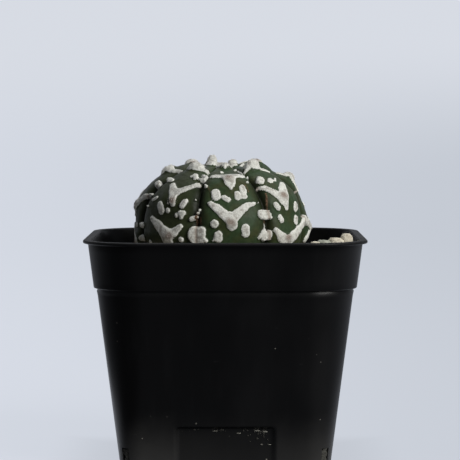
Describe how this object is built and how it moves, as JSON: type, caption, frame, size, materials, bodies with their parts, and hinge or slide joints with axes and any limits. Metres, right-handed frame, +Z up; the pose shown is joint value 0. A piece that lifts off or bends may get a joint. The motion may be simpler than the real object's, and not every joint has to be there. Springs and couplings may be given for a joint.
{
  "type": "potted cactus",
  "caption": "Small ribbed globe cactus with raised V-shaped felt patches and woolly tufts, rooted in gritty mix in a square black nursery pot with a collar, side recesses and drain slits.",
  "frame": {"origin": "centre of the pot's foot, on the surface the pot stands on", "axes": "+Z up through the pot; +X to the right and +Y away from a viewer of the front, whose side is -Y"},
  "size_m": [0.09, 0.09, 0.1015],
  "materials": {
    "pot_plastic": "black moulded plastic with a faint sheen and a little dust",
    "potting_mix": "rough, crumbly and damp",
    "grit": "rough pale granules, cream to grey-green",
    "cactus_skin": "waxy deep green skin with raised cream-white felt patches and pinkish-white wool"
  },
  "bodies": {
    "root": {"pot": "pot_plastic", "potting_mix": "potting_mix", "grit": "grit", "cactus": "cactus_skin"}
  },
  "joints": []
}
